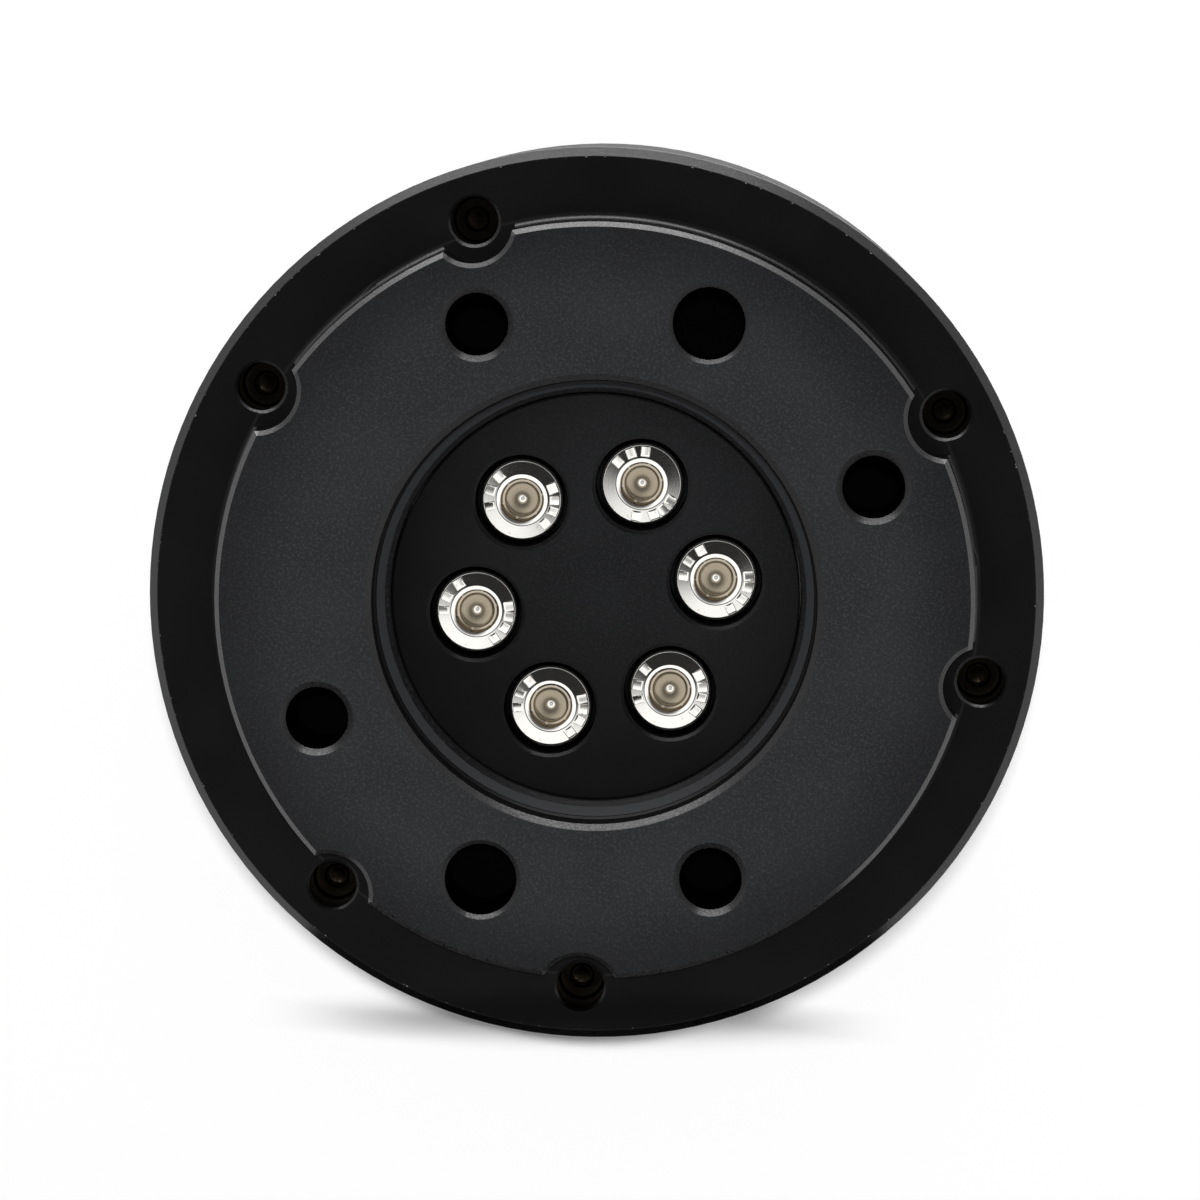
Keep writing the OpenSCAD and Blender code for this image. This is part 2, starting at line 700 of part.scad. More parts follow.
// Annular board, cut away at the cable socket
module circuit_board() color([0.06, 0.28, 0.16]) {
  notch_w = socket_pocket_w + 0.4;
  difference() {
    translate([0, 0, board_z]) ring(board_in_r, board_r, board_t);
    translate([notch_x, -notch_w / 2, board_z - eps]) cube([board_r, notch_w, board_t + 2 * eps]);
    around(standoff_angles, standoff_r)
      translate([0, 0, board_z - eps])
        cylinder(r = board_screw_d / 2 + 2 * thread_fit, h = board_t + 2 * eps);
  }
}

// Hexagonal standoffs with a stud in the floor and a thread on top
module board_standoffs() color([0.78, 0.68, 0.4]) {
  around(standoff_angles, standoff_r) difference() {
    union() {
      translate([0, 0, floor_t]) cylinder(r = standoff_af / 2 / cos(30), h = standoff_h, $fn = 6);
      translate([0, 0, floor_t - standoff_stud_l + 0.2])
        cylinder(d = board_screw_d, h = standoff_stud_l);
    }
    translate([0, 0, board_top_z - board_screw_l - 0.2])
      cylinder(r = board_screw_d / 2 + thread_fit, h = board_screw_l + 0.2);
  }
}

module board_screws() color([0.8, 0.8, 0.8]) {
  slot_d = 0.5;
  around(standoff_angles, standoff_r) translate([0, 0, board_top_z])
    difference() {
      union() {
        cylinder(d = board_head_d, h = board_head_h);
        translate([0, 0, -board_screw_l]) cylinder(d = board_screw_d, h = board_screw_l + eps);
      }
      for (a = [0, 90]) rotate([0, 0, a]) translate([0, 0, board_head_h - slot_d])
        block(0.6 * board_head_d, 0.4, slot_d + eps);
    }
}

// A chip with leads on two sides
module chip(l, w, h, leads) {
  body_lift = 0.1;
  root = 0.1;
  translate([0, 0, body_lift]) block(l, w, h - body_lift);
  pitch = (w - 0.6) / (leads - 1);
  for (s = [-1, 1], k = [0 : leads - 1])
    translate([s * (l + lead_reach - root) / 2, -w / 2 + 0.3 + k * pitch, 0])
      block(lead_reach + root, 0.25, 0.3);
}

module processor_chip() color([0.07, 0.07, 0.08]) {
  around([140], chip_r) translate([0, 0, board_top_z])
    chip(processor_w, processor_w, chip_h, 10);
}

// One converter for each beam's gauges
module converter_chips() color([0.07, 0.07, 0.08]) {
  around([for (a = beam_angles) a + 30], chip_r) translate([0, 0, board_top_z])
    chip(converter_l, converter_w, chip_h, 6);
}

// Coil, regulator and capacitor of the power supply
module power_parts() color([0.25, 0.25, 0.27]) {
  regulator_l = coil_w / 2;
  around([326], coil_r) translate([0, 0, board_top_z]) {
    block(coil_w, coil_w, coil_h);
    translate([(coil_w + regulator_l) / 2 + 2, 0, 0])
      chip(regulator_l, 0.75 * coil_w, chip_h + 0.2, 3);
    translate([0, (coil_w + capacitor_d) / 2 + 1, 0])
      cylinder(d = capacitor_d, h = coil_h - 0.2);
  }
}

// Small chip resistors and capacitors in three arcs
module board_passives() color([0.6, 0.52, 0.4]) {
  around([for (a = [204 : 6 : 246]) a], board_in_r + 3)
    translate([0, 0, board_top_z]) block(1.6, 0.8, 0.6);
  around([for (a = [258 : 6 : 276]) a], board_in_r + 6)
    translate([0, 0, board_top_z]) block(1.6, 0.8, 0.6);
  around([for (a = [210 : 4 : 246]) a], board_in_r + 6)
    translate([0, 0, board_top_z]) block(1, 0.5, 0.4);
}

module flex_connector() color([0.85, 0.82, 0.75]) {
  latch_h = 0.5;
  translate([0, flex_tail_y - flex_t / 2, board_top_z]) {
    block(flex_w + 2, 2.4, flex_connector_h - latch_h);
    translate([0, 0, flex_connector_h - latch_h - eps]) block(flex_w + 1.4, 1.8, latch_h + eps);
  }
}

module lead_header() color([0.88, 0.86, 0.8]) {
  difference() {
    translate([header_x + header_l / 2, 0, board_top_z]) block(header_l, header_w, header_h);
    translate([header_x + 0.5, -header_w / 2 + 0.5, board_top_z + header_h - 0.5])
      cube([0.6, header_w - 1, 0.5 + eps]);
  }
}

// Metal shell of the cable socket, with a key groove in its bore
module socket_shell() color([0.66, 0.66, 0.66]) {
  flange_c = 0.3;
  key_w = 1;
  flange_r = socket_flange_d / 2;
  translate([0, 0, socket_z]) rotate([0, 90, 0]) difference() {
    union() {
      translate([0, 0, socket_seat_x]) cylinder(r = flange_r, h = socket_flange_t - flange_c);
      translate([0, 0, socket_seat_x + socket_flange_t - flange_c])
        cylinder(r1 = flange_r, r2 = flange_r - flange_c, h = flange_c);
      translate([0, 0, socket_back_x]) cylinder(d = socket_body_d, h = socket_body_l + eps);
    }
    translate([0, 0, socket_back_x - eps])
      cylinder(d = socket_bore_d, h = socket_body_l + socket_flange_t + 2 * eps);
    translate([-socket_bore_d / 2 - 0.35, -key_w / 2, socket_back_x + insert_t])
      cube([1, key_w, socket_body_l + socket_flange_t]);
    translate([0, 0, socket_seat_x - socket_neck_l])
      ring(socket_neck_r, socket_body_d, socket_neck_l);
  }
}

// Moulded insulator at the back of the socket
module socket_insert() color([0.1, 0.1, 0.1]) {
  insert_fit = 0.02;
  contact_fit = 0.02;
  translate([0, 0, socket_z]) rotate([0, 90, 0]) difference() {
    translate([0, 0, socket_back_x]) cylinder(r = socket_bore_d / 2 - insert_fit, h = insert_t);
    around(contact_angles, contact_pcd / 2) translate([0, 0, socket_back_x - eps])
      cylinder(r = contact_d / 2 + contact_fit, h = insert_t + 2 * eps);
  }
}

module socket_contacts() color([0.85, 0.68, 0.3]) {
  pin_l = 3.2;
  translate([0, 0, socket_z]) rotate([0, 90, 0]) around(contact_angles, contact_pcd / 2)
    translate([0, 0, socket_back_x - contact_tail_l])
      cylinder(d = contact_d, h = insert_t + contact_tail_l + pin_l);
}

module socket_nut() color([0.7, 0.7, 0.7]) {
  nut_fit = 0.03;
  translate([socket_pad_x - socket_nut_t, 0, socket_z]) rotate([0, 90, 0]) difference() {
    cylinder(r = socket_nut_af / 2 / cos(30), h = socket_nut_t, $fn = 6);
    translate([0, 0, -eps]) cylinder(r = socket_body_d / 2 + nut_fit, h = socket_nut_t + 2 * eps);
  }
}

// Ring in the neck under the socket's flange
module socket_seal() color([0.08, 0.08, 0.08]) {
  seal_fit = 0.03;
  translate([socket_seat_x - socket_neck_l + seal_fit, 0, socket_z]) rotate([0, 90, 0])
    ring(socket_neck_r + seal_fit, socket_body_d / 2 + socket_fit - seal_fit,
      socket_neck_l - 2 * seal_fit);
}

// One lead in its own plane: out of a contact, up past the board, into the header
module lead(z_start) {
  start_x = socket_back_x - contact_tail_l;
  r = lead_bend_r;
  end_x = header_x + header_l;
  translate([lead_x + r, 0, z_start]) rotate([0, 90, 0])
    cylinder(d = lead_d, h = start_x - lead_x - r);
  translate([lead_x + r, 0, z_start + r]) rotate([90, 0, 0]) rotate([0, 0, 180])
    rotate_extrude(angle = 90) translate([r, 0]) circle(d = lead_d);
  translate([lead_x, 0, z_start + r]) cylinder(d = lead_d, h = lead_z - r - z_start - r);
  translate([lead_x - r, 0, lead_z - r]) rotate([90, 0, 0])
    rotate_extrude(angle = 90) translate([r, 0]) circle(d = lead_d);
  translate([end_x, 0, lead_z]) rotate([0, 90, 0]) cylinder(d = lead_d, h = lead_x - r - end_x);
}

// To the nearest hundredth, so that the runs of a lead meet exactly
function hundredth(v) = round(100 * v) / 100;

module socket_leads() color([0.75, 0.2, 0.15]) {
  for (a = contact_angles) translate([0, hundredth(contact_pcd / 2 * sin(a)), 0])
    lead(hundredth(socket_z - contact_pcd / 2 * cos(a)));
}

tool_flange();
sensing_element();
housing();
hub_screws();
rim_screws();
hub_pins();
rim_pins();
gap_seal();
hub_seal();
strain_gauges();
gauge_flex();
circuit_board();
board_standoffs();
board_screws();
processor_chip();
converter_chips();
power_parts();
board_passives();
flex_connector();
lead_header();
socket_shell();
socket_insert();
socket_contacts();
socket_nut();
socket_seal();
socket_leads();
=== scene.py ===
"""Looks, light and camera for the force torque sensor.

Lengths are in metres, in the part's own frame: +Z is the sensor's axis, its tool side faces up
and the floor is z = 0. RIGHT and UP are the picture's two directions in the plane of the floor.
"""

import json
import math
import random

import bmesh
import bpy
from mathutils import Matrix, Vector


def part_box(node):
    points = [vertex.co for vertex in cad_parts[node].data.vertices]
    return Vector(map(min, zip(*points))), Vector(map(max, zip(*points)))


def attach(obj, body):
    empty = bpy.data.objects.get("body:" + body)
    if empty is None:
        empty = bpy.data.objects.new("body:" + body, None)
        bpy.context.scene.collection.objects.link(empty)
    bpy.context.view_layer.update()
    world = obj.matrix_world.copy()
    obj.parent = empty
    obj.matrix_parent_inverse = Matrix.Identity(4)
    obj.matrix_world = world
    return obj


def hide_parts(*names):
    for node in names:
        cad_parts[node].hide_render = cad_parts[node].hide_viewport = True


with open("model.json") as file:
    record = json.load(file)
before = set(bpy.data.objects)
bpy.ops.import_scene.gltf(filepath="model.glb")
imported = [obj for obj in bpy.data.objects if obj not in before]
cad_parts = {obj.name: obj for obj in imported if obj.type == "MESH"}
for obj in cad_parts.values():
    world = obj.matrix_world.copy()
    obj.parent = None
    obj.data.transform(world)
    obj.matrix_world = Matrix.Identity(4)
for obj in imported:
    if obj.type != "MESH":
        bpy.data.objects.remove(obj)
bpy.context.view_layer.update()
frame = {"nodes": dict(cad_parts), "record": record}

MM = 0.001

# Heights and radii of the part
TOP_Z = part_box("tool_flange")[1].z
BODY_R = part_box("tool_flange")[1].x
HUB_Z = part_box("sensing_element")[1].z
BOSS_H = 5 * MM
RING_Z = TOP_Z - BOSS_H
BOSS_R = 31.5 * MM
BOSS_CHAMFER = 0.4 * MM
OUTER_CHAMFER = 0.7 * MM
RECESS_R = 18.5 * MM
RECESS_CONE_TOP = TOP_Z - 3.4 * MM

# Zones of the flange: where its face starts to fade, the ring with the holes, how deep the mouths reach,
# and the heights of the rim pockets' edges
FACE_FADE_R = 24 * MM
HOLE_RING = (20 * MM, 29 * MM)
MOUTH_DEPTH = 0.6 * MM
POCKET_EDGES = (RING_Z - 0.25 * MM, RING_Z + 0.6 * MM)

# Hub screws
HUB_SCREW_R = 20.3 / 2 * MM
HUB_SCREW_ANGLES = [30 + 60 * k for k in range(6)]
HUB_HEAD_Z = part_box("hub_screws")[1].z
HUB_TIP_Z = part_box("hub_screws")[0].z
HEAD_R = 3.5 * MM
HEAD_H = 4 * MM
HEAD_CONE_R = (2.18 * MM, 3.24 * MM)
HEAD_CONE_TILT = math.radians(8)
SHANK_R = 2 * MM
TIP_CHAMFER = 0.45 * MM
HEAD_CHAMFER = 0.06 * MM
HEAD_SEGMENTS = 144

# Their sockets: the lip's inner border, the hexagon, the round cup that widens it, the floor, and the
# raised middle
LIP_R = 1.84 * MM
HEXAGON_APOTHEM = 1.5 * MM
CUP_R = 1.68 * MM
CUP_FLOOR_R = 1.3 * MM
NUB_R = 0.3 * MM

# The picture's directions: its right and its top
PICTURE_TURN = math.radians(22.24)
RIGHT = Vector((math.cos(PICTURE_TURN), math.sin(PICTURE_TURN), 0))
UP = Vector((-math.sin(PICTURE_TURN), math.cos(PICTURE_TURN), 0))
AXIS = Vector((0, 0, 1))


def in_picture(right, up, out):
    """A vector from its parts along the picture's right, its top and the sensor's axis."""
    return RIGHT * right + UP * up + AXIS * out


def mount(name):
    """The record's mount of that name."""
    return next(m for m in frame["record"]["mounts"] if m["name"] == name)


# ---------------------------------------------------------------- materials


def grey(level):
    """Linear value of an sRGB level from 0 to 255."""
    s = level / 255
    return s / 12.92 if s <= 0.04045 else ((s + 0.055) / 1.055) ** 2.4


def rgb(r, g, b):
    """Linear colour of an sRGB colour from 0 to 255."""
    return (grey(r), grey(g), grey(b), 1)


class Shader:
    """One material's nodes, with short names for the ones that are used often."""

    def __init__(self, name):
        self.material = bpy.data.materials.new(name)
        self.material.use_nodes = True
        self.tree = self.material.node_tree
        self.bsdf = self.tree.nodes["Principled BSDF"]
        self.place = self.tree.nodes.new("ShaderNodeTexCoord").outputs["Object"]
        geometry = self.tree.nodes.new("ShaderNodeNewGeometry")
        self.normal_z = self.split(geometry.outputs["True Normal"])[2]

    def put(self, socket, value):
        """Links an output to a socket, or sets the socket's own value."""
        if isinstance(value, bpy.types.NodeSocket):
            self.tree.links.new(value, socket)
        else:
            socket.default_value = value

    def set(self, **inputs):
        """Sets or links the shader's own sockets."""
        for name, value in inputs.items():
            self.put(self.bsdf.inputs[name.replace("_", " ")], value)
        return self.material

    def split(self, vector):
        node = self.tree.nodes.new("ShaderNodeSeparateXYZ")
        self.put(node.inputs[0], vector)
        return node.outputs[0], node.outputs[1], node.outputs[2]

    def join(self, x, y, z):
        node = self.tree.nodes.new("ShaderNodeCombineXYZ")
        for socket, value in zip(node.inputs, (x, y, z)):
            self.put(socket, value)
        return node.outputs[0]

    def calc(self, operation, a, b=0.0):
        node = self.tree.nodes.new("ShaderNodeMath")
        node.operation = operation
        self.put(node.inputs[0], a)
        self.put(node.inputs[1], b)
        return node.outputs[0]

    def times(self, first, *others):
        for other in others:
            first = self.calc("MULTIPLY", first, other)
        return first

    def plus(self, first, *others):
        for other in others:
            first = self.calc("ADD", first, other)
        return first

    def either(self, first, *others):
        for other in others:
            first = self.calc("MAXIMUM", first, other)
        return first

    def radius(self):
        """Distance from the object's Z axis."""
        x, y, _ = self.split(self.place)
        return self.calc("SQRT", self.plus(self.times(x, x), self.times(y, y)))

    def height(self):
        return self.split(self.place)[2]

    def distance(self, point):
        """Distance from a point of the object."""
        node = self.tree.nodes.new("ShaderNodeVectorMath")
        node.operation = "DISTANCE"
        self.put(node.inputs[0], self.place)
        node.inputs[1].default_value = point
        return node.outputs["Value"]

    def step(self, value, low, high, start=0.0, end=1.0):
        """Rises smoothly from start to end as value goes from low to high."""
        node = self.tree.nodes.new("ShaderNodeMapRange")
        node.interpolation_type = "SMOOTHSTEP"
        self.put(node.inputs["Value"], value)
        for name, v in (("From Min", low), ("From Max", high), ("To Min", start), ("To Max", end)):
            self.put(node.inputs[name], v)
        return node.outputs["Result"]

    def within(self, value, low, high, soft):
        """1 between low and high, and 0 beyond a soft border."""
        rise = self.step(value, low - soft, low + soft)
        fall = self.step(value, high - soft, high + soft, 1.0, 0.0)
        return self.times(rise, fall)

    def noise(self, size, detail=1.0, vector=None):
        """Noise with features about size across, from 0 to 1."""
        node = self.tree.nodes.new("ShaderNodeTexNoise")
        self.put(node.inputs["Vector"], vector or self.place)
        node.inputs["Scale"].default_value = 1 / size
        node.inputs["Detail"].default_value = detail
        node.inputs["Roughness"].default_value = 0.6
        return node.outputs["Fac"]

    def turned(self, pitch):
        """Uneven concentric tool marks, from 0 to 1."""
        return self.noise(pitch, 2.0, self.join(self.radius(), 0.0, 0.0))

    def mix(self, factor, a, b):
        """The colour a where factor is 0 and b where it is 1."""
        node = self.tree.nodes.new("ShaderNodeMix")
        node.data_type = "RGBA"
        self.put(node.inputs["Factor"], factor)
        self.put(node.inputs[6], a)
        self.put(node.inputs[7], b)
        return node.outputs[2]

    def blend(self, factor, a, b):
        """The number a where factor is 0 and b where it is 1."""
        node = self.tree.nodes.new("ShaderNodeMix")
        self.put(node.inputs["Factor"], factor)
        self.put(node.inputs[2], a)
        self.put(node.inputs[3], b)
        return node.outputs[0]

    def bump(self, height, distance):
        """Normal of a surface raised by height times distance."""
        node = self.tree.nodes.new("ShaderNodeBump")
        node.inputs["Distance"].default_value = distance
        self.put(node.inputs["Height"], height)
        return node.outputs["Normal"]


def anodised(name, zones):
    """Black anodised aluminium. zones(s, ragged) gives the masks that differ from 0: of the blasted faces,
    of the paler blasted ones, of the chamfers, of those that are worn bright, of the nicked borders, and of
    the insides of the holes, which get painted shade. On the element's hub the blasted mask also carries
    painted light."""
    s = Shader(name)
    grain = s.noise(0.22 * MM, 3.0)
    coarse = s.noise(0.4 * MM)
    cloud = s.noise(7 * MM)
    turned = s.turned(0.1 * MM)
    ragged = s.times(coarse, 0.12 * MM)
    masks = dict.fromkeys(("blasted", "pale", "chamfer", "bright", "border", "painted_hole_shade"), 0.0)
    masks.update(zones(s, ragged))
    blasted, pale, chamfer, bright, border, painted_hole_shade = masks.values()

    smooth_colour = s.mix(s.step(cloud, 0.3, 0.7), rgb(8, 8, 8), rgb(12, 12, 12))
    blasted_colour = s.mix(s.step(cloud, 0.3, 0.7), rgb(21, 22, 24), rgb(27, 28, 30))
    blasted_colour = s.mix(s.step(grain, 0.45, 0.7), blasted_colour, rgb(44, 46, 48))
    blasted_colour = s.mix(pale, blasted_colour, rgb(52, 53, 55))
    colour = s.mix(blasted, smooth_colour, blasted_colour)
    colour = s.mix(s.times(chamfer, s.step(grain, 0.3, 0.6, 0.4, 1.0)), colour, rgb(14, 14, 15))
    nicks = s.times(border, s.step(coarse, 0.66, 0.72))
    colour = s.mix(nicks, colour, rgb(150, 149, 146))
    # Painted shade: the insides of the holes turn near black, and below lose most of their sheen.
    colour = s.mix(painted_hole_shade, colour, rgb(3, 3, 3))

    edges = s.either(chamfer, bright)
    roughness = s.blend(edges, s.blend(blasted, 0.36, 0.54), s.step(grain, 0.3, 0.7, 0.26, 0.42))
    specular = s.blend(edges, s.blend(blasted, 0.14, 0.34), s.blend(bright, 0.5, 1.0))
    specular = s.blend(painted_hole_shade, specular, 0.04)
    rough = s.plus(grain, s.times(coarse, 0.5))
    relief = s.blend(s.either(blasted, s.times(edges, 0.5)), s.times(turned, 0.15), rough)
    return s.set(
        Base_Color=colour,
        Roughness=roughness,
        Specular_IOR_Level=specular,
        Normal=s.bump(relief, 0.012 * MM),
    )


def slanted(s):
    """1 on chamfers and 0 on level and upright faces."""
    return s.within(s.calc("ABSOLUTE", s.normal_z), 0.45, 0.9, 0.05)


def flange_zones(s, ragged):
    """Masks on the tool flange."""
    r, z = s.radius(), s.height()
    soft = 0.02 * MM
    face = s.times(s.step(z, TOP_Z - 2 * soft, TOP_Z - soft), s.step(r, FACE_FADE_R, BOSS_R, 1.0, 0.5))
    in_recess = s.step(r, RECESS_R + 0.1 * MM, RECESS_R + 0.2 * MM, 1.0, 0.0)
    cone = s.times(s.step(z, RECESS_CONE_TOP, RECESS_CONE_TOP + soft, 1.0, 0.0), in_recess)
    tilted = slanted(s)
    mouths = s.times(tilted, s.step(z, TOP_Z - MOUTH_DEPTH, TOP_Z - MOUTH_DEPTH + 0.05 * MM))
    boss_edge = s.step(r, BOSS_R - BOSS_CHAMFER - soft, BOSS_R - BOSS_CHAMFER)
    ring_edge_r = BODY_R - OUTER_CHAMFER
    pockets = s.within(z, *POCKET_EDGES, soft)
    outer = s.times(tilted, s.either(s.step(r, ring_edge_r, ring_edge_r + soft), pockets))
    worn_r = s.plus(r, ragged)
    border = s.within(worn_r, ring_edge_r - 0.02 * MM, ring_edge_r + 0.03 * MM, 0.02 * MM)
    spill = s.times(s.step(worn_r, ring_edge_r - soft, ring_edge_r + soft), s.step(z, RING_Z - soft, RING_Z))
    # Where shade is painted: the insides of the holes below their mouths.
    below_mouths = s.step(z, TOP_Z - MOUTH_DEPTH - 0.2 * MM, TOP_Z - MOUTH_DEPTH, 1.0, 0.0)
    holes = s.times(s.within(r, *HOLE_RING, soft), below_mouths)
    return {
        "blasted": s.either(face, cone),
        "pale": cone,
        "chamfer": s.either(mouths, outer, s.times(spill, 0.7)),
        "bright": s.times(mouths, boss_edge),
        "border": border,
        "painted_hole_shade": holes,
    }


def element_zones(s, ragged):
    """Masks on the sensing element, whose hub shows, with painted light: the hub is lighter round a point a
    little to the picture's upper right of its middle, and fades darker towards its edge.
    """
    rim = s.times(slanted(s), s.step(s.height(), HUB_Z - 0.3 * MM, HUB_Z - 0.25 * MM))
    middle = in_picture(4 * MM, 6 * MM, HUB_Z)
    painted_light_pool = s.step(s.distance(middle), 4 * MM, 23 * MM, 0.42, 0.0)
    # Painted light: the pool goes in through the blasted mask, which lightens the hub's colour.
    return {"blasted": painted_light_pool, "chamfer": s.times(rim, 0.4)}


def housing_zones(s, ragged):
    """Masks on the housing: a blasted side and two outer chamfers."""
    r = s.radius()
    side = s.step(r, BODY_R - 0.03 * MM, BODY_R - 0.02 * MM)
    edge_r = BODY_R - OUTER_CHAMFER
    outer = s.times(slanted(s), s.step(r, edge_r, edge_r + 0.02 * MM))
    border = s.within(s.plus(r, ragged), edge_r - 0.02 * MM, edge_r + 0.03 * MM, 0.02 * MM)
    return {"blasted": s.times(side, 0.5), "chamfer": outer, "border": border}


def head_steel(name):
    """Steel of the hub screws: a polished turned face and lip, a darker wall, and a duller cup floor."""
    s = Shader(name)
    marks = s.turned(0.06 * MM)
    r = s.radius()
    in_cup = s.within(r, NUB_R, CUP_FLOOR_R, 0.08 * MM)
    wall = s.within(r, NUB_R, LIP_R - 0.01 * MM, 0.01 * MM)
    stain = s.step(s.noise(0.5 * MM), 0.66, 0.74)
    face_colour = s.mix(s.times(stain, 0.3), rgb(250, 248, 243), rgb(190, 154, 116))
    face_colour = s.mix(wall, face_colour, rgb(182, 172, 156))
    cup_colour = s.mix(s.step(marks, 0.3, 0.7), rgb(154, 143, 124), rgb(174, 162, 143))
    roughness = s.blend(in_cup, s.step(marks, 0.3, 0.7, 0.06, 0.11), 0.25)
    return s.set(
        Base_Color=s.mix(in_cup, face_colour, cup_colour),
        Metallic=s.blend(in_cup, 1.0, 0.8),
        Roughness=roughness,
        Normal=s.bump(marks, 0.0016 * MM),
    )


def plain(name, light, dark, roughness, size, relief, metallic=0.0):
    """A material with two tones, a grain of that size and that relief."""
    s = Shader(name)
    grain = s.noise(size, 2.0)
    return s.set(
        Base_Color=s.mix(s.step(grain, 0.3, 0.7), light, dark),
        Metallic=metallic,
        Roughness=s.step(grain, 0.3, 0.7, roughness - 0.04, roughness + 0.06),
        Normal=s.bump(grain, relief),
    )


def circuit_mask(name):
    """Green solder mask with tracks that show as lighter lines, and tinned pads."""
    s = Shader(name)
    x, y, _ = s.split(s.place)
    wander = s.times(s.noise(3 * MM), 2 * MM)
    tracks = s.calc("SINE", s.times(s.plus(x, wander), 2 * math.pi / (1.1 * MM)))
    rows = s.calc("SINE", s.times(y, 2 * math.pi / (1.7 * MM)))
    lines = s.either(s.step(tracks, 0.75, 0.85), s.step(rows, 0.9, 0.95))
    colour = s.mix(lines, rgb(18, 84, 46), rgb(34, 112, 62))
    colour = s.mix(s.step(s.noise(0.5 * MM), 0.68, 0.72), colour, rgb(196, 190, 172))
    return s.set(Base_Color=colour, Roughness=0.32, Normal=s.bump(lines, 0.02 * MM))


def thread_metal(name):
    """Threads cut after anodising: bare at the mouth, and darker below it with painted shade."""
    s = Shader(name)
    depth = s.calc("ABSOLUTE", s.height())
    # Painted shade: the colour darkens with depth below the mouth.
    painted_depth_shade = s.step(s.plus(depth, s.noise(0.6 * MM)), 0.6 * MM, 1.6 * MM)
    return s.set(
        Base_Color=s.mix(painted_depth_shade, rgb(150, 148, 144), rgb(16, 16, 16)),
        Metallic=0.9,
        Roughness=s.step(s.noise(0.2 * MM), 0.3, 0.7, 0.25, 0.4),
    )


def make_materials():
    """The material of each slot in the record."""
    made = {
        "flange_black": anodised("flange_black", flange_zones),
        "element_alloy": anodised("element_alloy", element_zones),
        "housing_black": anodised("housing_black", housing_zones),
        "hub_screw_steel": head_steel("hub_screw_steel"),
        "board_green": circuit_mask("board_green"),
    }
    # Each slot's light and dark tone, roughness and size of grain in mm
    metals = {
        "rim_screw_steel": (rgb(96, 86, 74), rgb(78, 69, 58), 0.12, 0.1),
        "pin_steel": (rgb(205, 205, 204), rgb(180, 180, 179), 0.25, 0.3),
        "standoff_brass": (rgb(214, 186, 120), rgb(188, 158, 94), 0.3, 0.3),
        "small_screw_steel": (rgb(206, 206, 204), rgb(178, 178, 176), 0.3, 0.2),
        "socket_metal": (rgb(190, 190, 188), rgb(166, 166, 165), 0.3, 0.25),
        "contact_gold": (rgb(226, 190, 98), rgb(206, 166, 76), 0.22, 0.2),
    }
    for slot, (light, dark, roughness, size) in metals.items():
        made[slot] = plain(slot, light, dark, roughness, size * MM, 0.002 * MM, 1.0)
    others = {
        "seal_rubber": (rgb(24, 24, 24), rgb(32, 32, 32), 0.75, 0.2),
        "hub_seal_rubber": (rgb(96, 96, 97), rgb(116, 116, 117), 0.75, 0.2),
        "gauge_foil": (rgb(206, 140, 48), rgb(180, 112, 36), 0.4, 0.3),
        "flex_film": (rgb(212, 146, 56), rgb(186, 120, 42), 0.38, 0.6),
        "chip_black": (rgb(26, 26, 27), rgb(38, 38, 39), 0.6, 0.1),
        "component_grey": (rgb(72, 72, 76), rgb(92, 92, 96), 0.5, 0.2),
        "component_tan": (rgb(186, 160, 122), rgb(160, 134, 98), 0.5, 0.2),
        "connector_cream": (rgb(226, 218, 198), rgb(206, 198, 178), 0.45, 0.3),
        "insert_black": (rgb(24, 24, 24), rgb(34, 34, 34), 0.5, 0.15),
        "lead_sleeve": (rgb(150, 32, 26), rgb(122, 24, 20), 0.45, 0.4),
    }
    for slot, (light, dark, roughness, size) in others.items():
        made[slot] = plain(slot, light, dark, roughness, size * MM, 0.006 * MM)
    return made


MATERIALS = make_materials()


def dress_cad_nodes():
    """Gives each CAD node the material of its slot in the record."""
    slots = {part["node"]: part["material_slot"] for part in frame["record"]["subparts"]}
    slots["hub_seal"] = "hub_seal_rubber"
    for node, obj in frame["nodes"].items():
        for slot in obj.material_slots:
            slot.material = MATERIALS[slots[node]]


# ---------------------------------------------------------------- pieces


def piece(name, mesh, slot, place, material=None):
    """An object of that mesh on the part's one body, with the material of a record slot."""
    mesh.materials.append(material or MATERIALS[slot])
    obj = bpy.data.objects.new(name, mesh)
    bpy.context.scene.collection.objects.link(obj)
    obj.location = place
    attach(obj, "root")
    return obj


def finish_mesh(bm, name, sharp_deg=40):
    """Turns a bmesh into a mesh with outward normals, smooth but for its sharp edges."""
    bmesh.ops.recalc_face_normals(bm, faces=bm.faces)
    for face in bm.faces:
        face.smooth = True
    for edge in bm.edges:
        edge.smooth = edge.is_manifold and edge.calc_face_angle(math.pi) < math.radians(sharp_deg)
    mesh = bpy.data.meshes.new(name)
    bm.to_mesh(mesh)
    bm.free()
    return mesh


def turn_points(radius_at, z, segments):
    """Points round Z at the height z, with radius_at(angle) from the axis."""
    turns = [2 * math.pi * k / segments for k in range(segments)]
    return [(radius_at(t) * math.cos(t), radius_at(t) * math.sin(t), z) for t in turns]


def skin(bm, rows, segments):
    """A closed skin through rows of (radius or function of the angle, z), from one pole to the other."""
    rings = []
    for radius, z in rows:
        if radius == 0:
            rings.append([bm.verts.new((0, 0, z))] * segments)
            continue
        radius_at = radius if callable(radius) else (lambda angle, r=radius: r)
        rings.append([bm.verts.new(p) for p in turn_points(radius_at, z, segments)])
    for low, high in zip(rings, rings[1:]):
        for k in range(segments):
            bm.faces.new(list(dict.fromkeys([low[k], low[k - 1], high[k - 1], high[k]])))


def hexagon(apothem, least):
    """Radius of a hexagon with that apothem as a function of the angle, but never below least."""
    sector = math.pi / 3

    def radius_at(angle):
        return max(least, apothem / math.cos((angle + sector / 2) % sector - sector / 2))

    return radius_at


